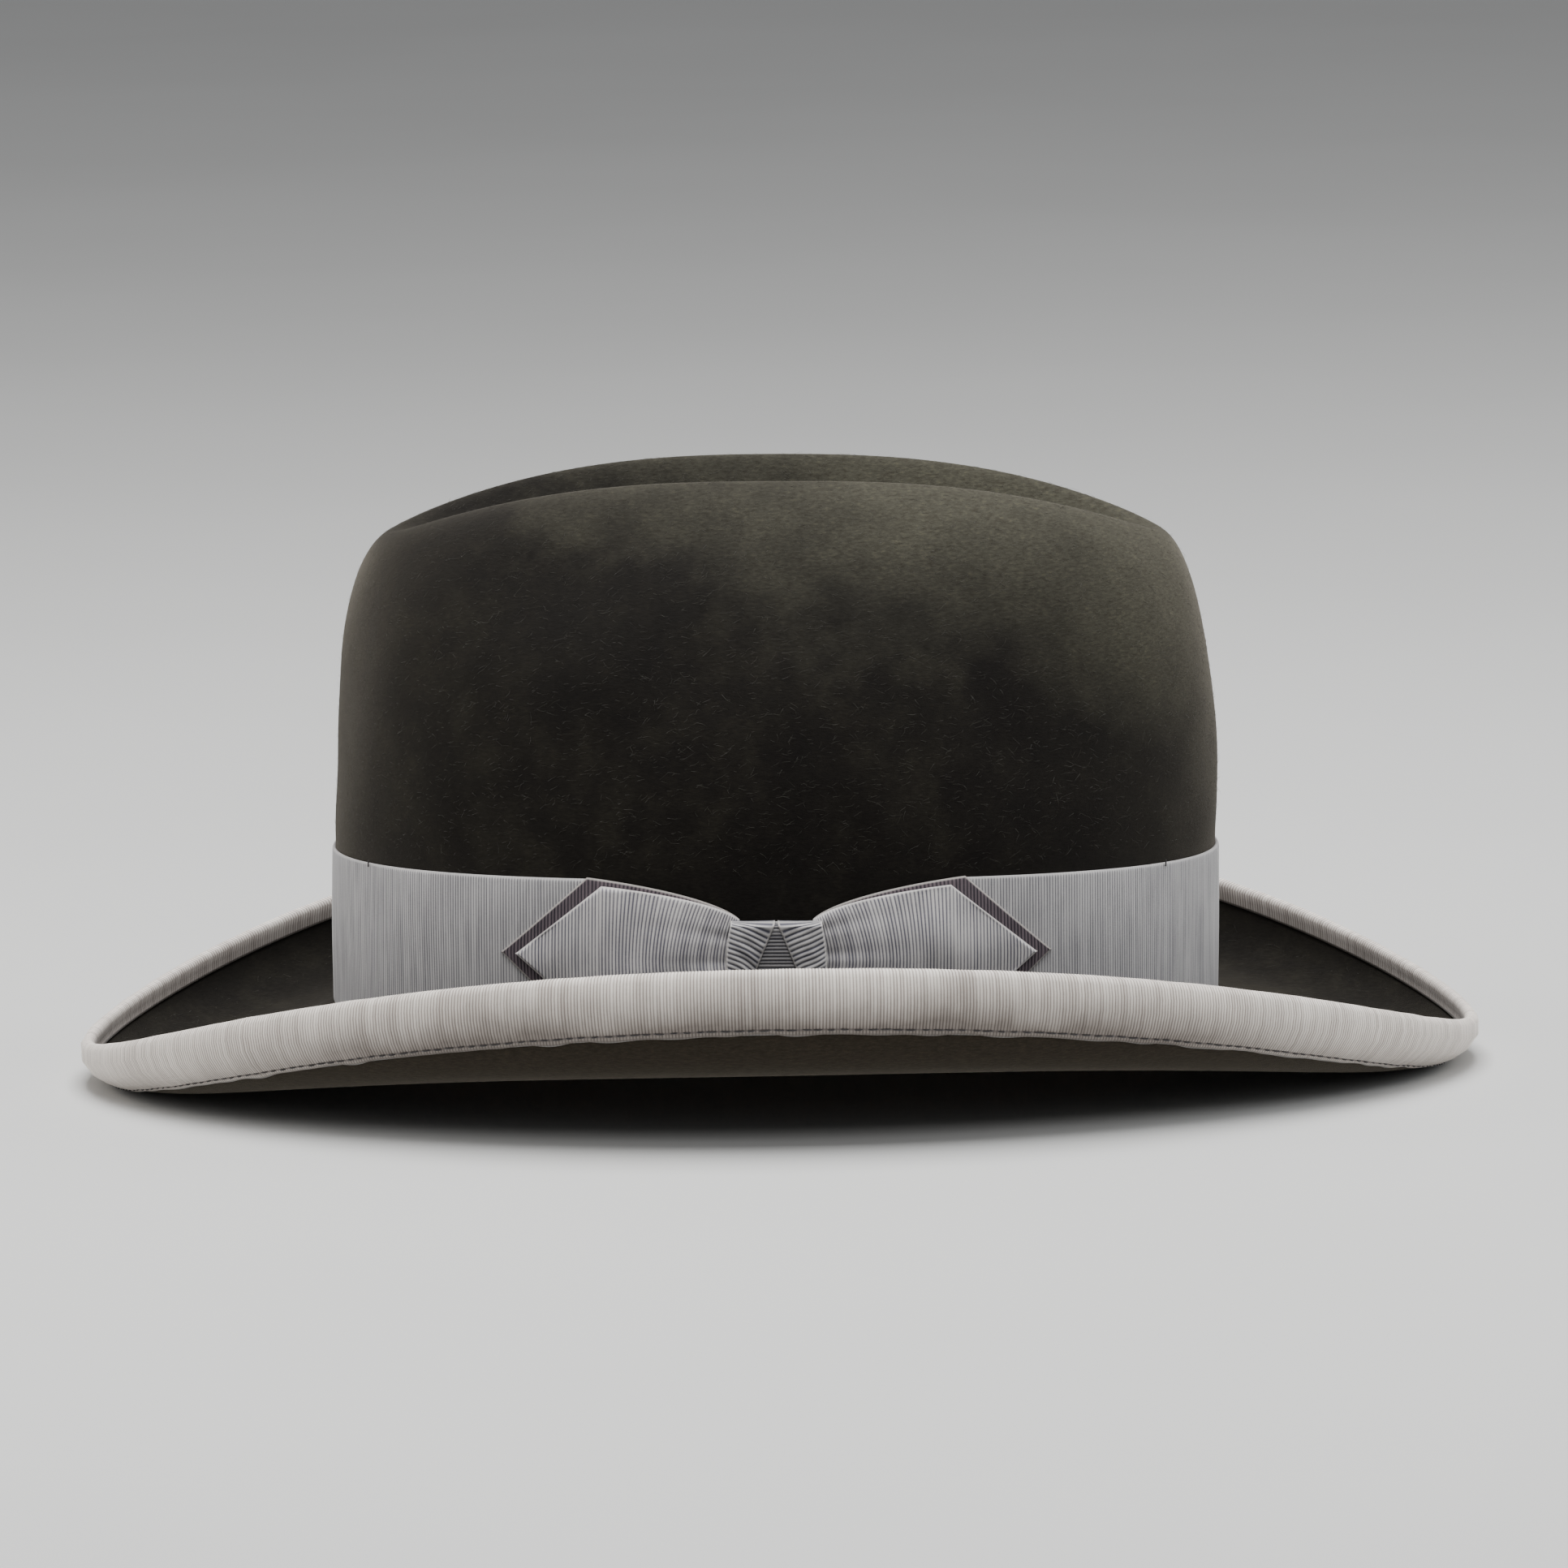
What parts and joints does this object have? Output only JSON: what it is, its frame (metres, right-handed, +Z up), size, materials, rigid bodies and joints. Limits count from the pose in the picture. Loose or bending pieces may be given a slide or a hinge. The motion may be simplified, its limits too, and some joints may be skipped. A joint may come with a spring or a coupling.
{
  "type": "homburg felt hat",
  "caption": "Stiff dark felt town hat with a lengthwise crown crease, a curled brim bound in ribbed ribbon, and a ribbon band with a flat pointed bow.",
  "frame": {"origin": "bottom centre of the hat's box, on the surface the brim stands on", "axes": "+Z up through the crown, -Y towards the front of the hat, +X towards the wearer's left, where the bow is"},
  "size_m": [0.256, 0.3405, 0.1477],
  "materials": {
    "felt": "stiff fur felt, brushed, very dark olive brown",
    "edge_ribbon": "ribbed grosgrain, light warm grey",
    "crown_ribbon": "ribbed grosgrain, mid blue grey with a soft shine",
    "sewing_thread": "matt cotton thread",
    "sweatband_leather": "smooth tan roan leather",
    "reed": "plain strip",
    "reed_cloth": "woven tape",
    "satin_ribbon": "narrow satin ribbon",
    "lining_satin": "oyster satin",
    "piping_cord": "satin-covered cord",
    "ticket_paper": "blank matt paper"
  },
  "bodies": {
    "root": {"felt_body": "felt", "brim_binding": "edge_ribbon", "binding_thread": "sewing_thread", "hat_band": "crown_ribbon", "hat_band_tacks": "sewing_thread", "bow_under_wing_front": "crown_ribbon", "bow_under_wing_rear": "crown_ribbon", "bow_wing_front": "crown_ribbon", "bow_wing_rear": "crown_ribbon", "bow_knot": "crown_ribbon", "bow_knot_pleat_front": "crown_ribbon", "bow_knot_pleat_rear": "crown_ribbon", "sweatband": "sweatband_leather", "sweatband_reed": "reed", "reed_cover": "reed_cloth", "sweatband_thread": "sewing_thread", "sweatband_bow_knot": "satin_ribbon", "sweatband_bow_loops": "satin_ribbon", "lining_side": "lining_satin", "lining_tip": "lining_satin", "lining_piping": "piping_cord", "size_ticket": "ticket_paper"}
  },
  "joints": []
}
